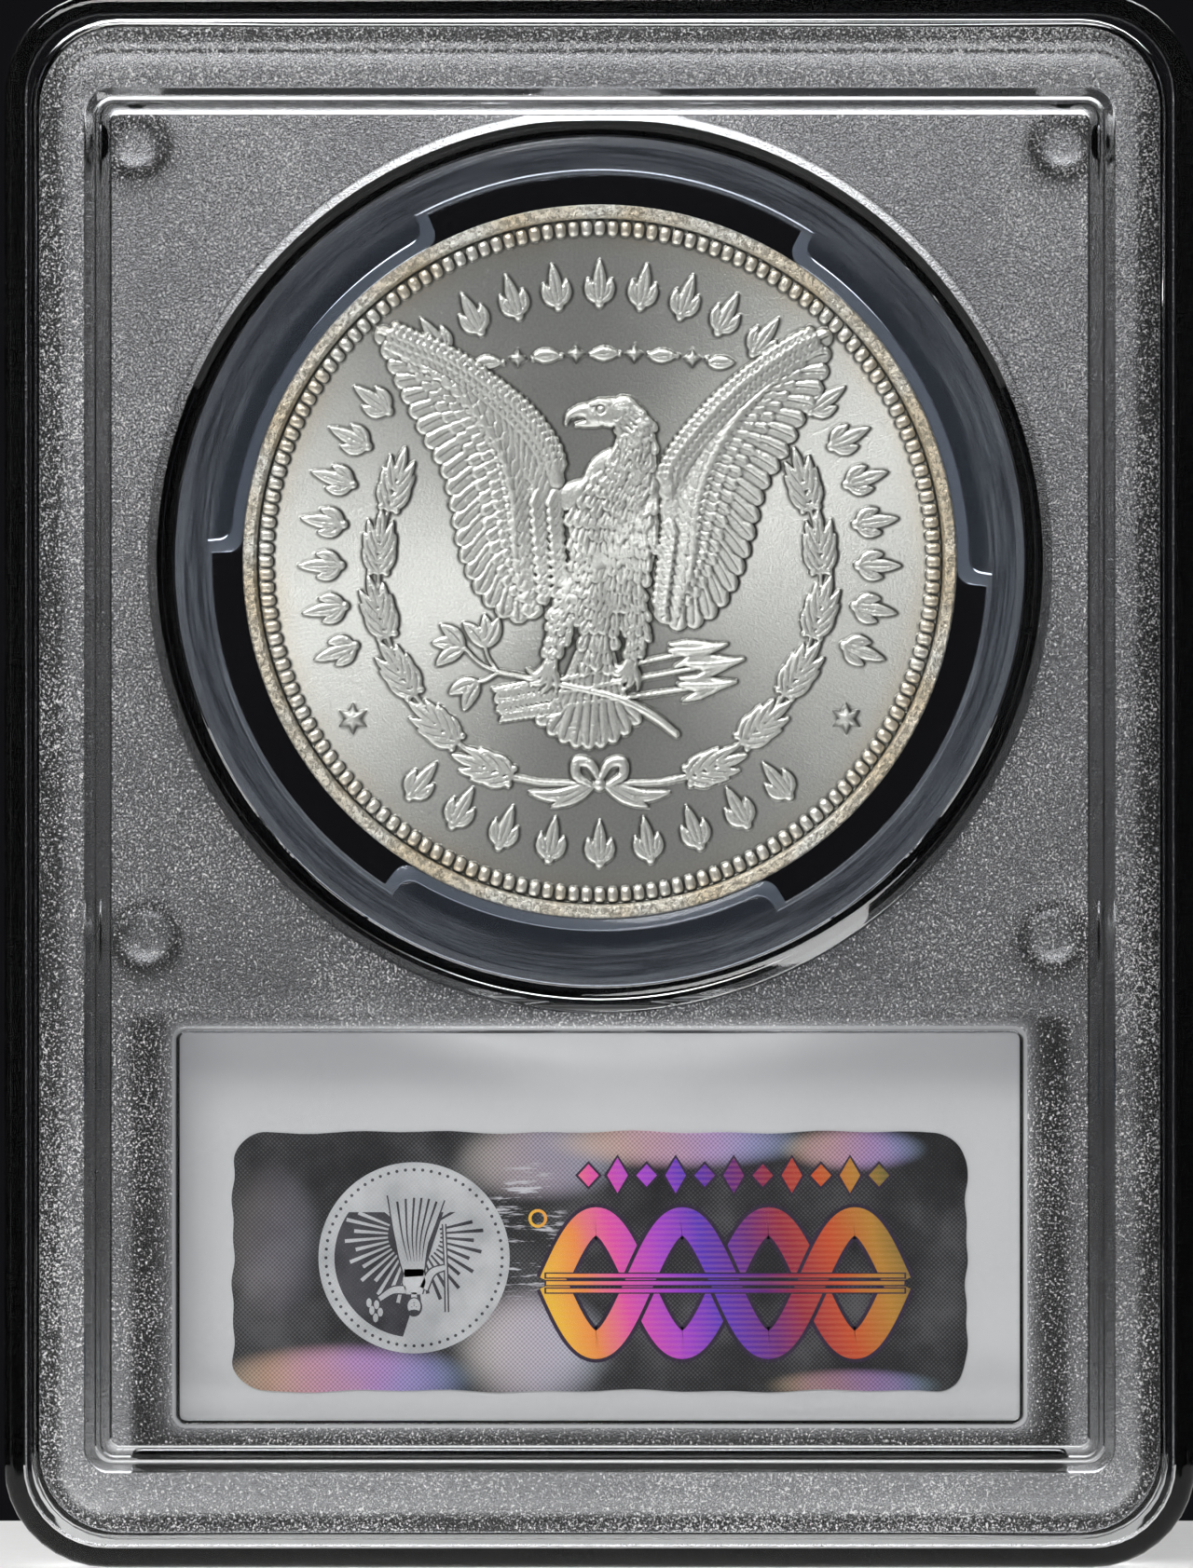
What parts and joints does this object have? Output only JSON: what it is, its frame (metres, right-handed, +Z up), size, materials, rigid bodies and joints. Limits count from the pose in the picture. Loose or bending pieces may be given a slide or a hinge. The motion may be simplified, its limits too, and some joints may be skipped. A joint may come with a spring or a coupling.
{
  "type": "graded coin slab",
  "caption": "Clear two-shell coin holder with a silver dollar gripped in a three-pad ring, a label card and a holographic sticker.",
  "frame": {"origin": "middle of the bottom edge that the slab stands on", "axes": "+Z up along the height with the coin above the label, -Y out of the rear face with the sticker, +Y out of the front face, +X right as the rear face is seen"},
  "size_m": [0.0636, 0.008, 0.084],
  "materials": {
    "clear_plastic_rear": "clear, with frosted fields and polished windows",
    "clear_plastic_front": "clear, with frosted fields and polished windows",
    "clear_soft_plastic": "clear, slightly cloudy",
    "silver": "satin struck silver with light golden toning at the rim",
    "label_card": "smooth light grey card",
    "hologram_foil": "diffractive foil with a fine weave"
  },
  "bodies": {
    "root": {"rear_shell": "clear_plastic_rear", "front_shell": "clear_plastic_front", "coin_gasket": "clear_soft_plastic", "coin": "silver", "label_card": "label_card", "hologram_sticker": "hologram_foil"}
  },
  "joints": []
}
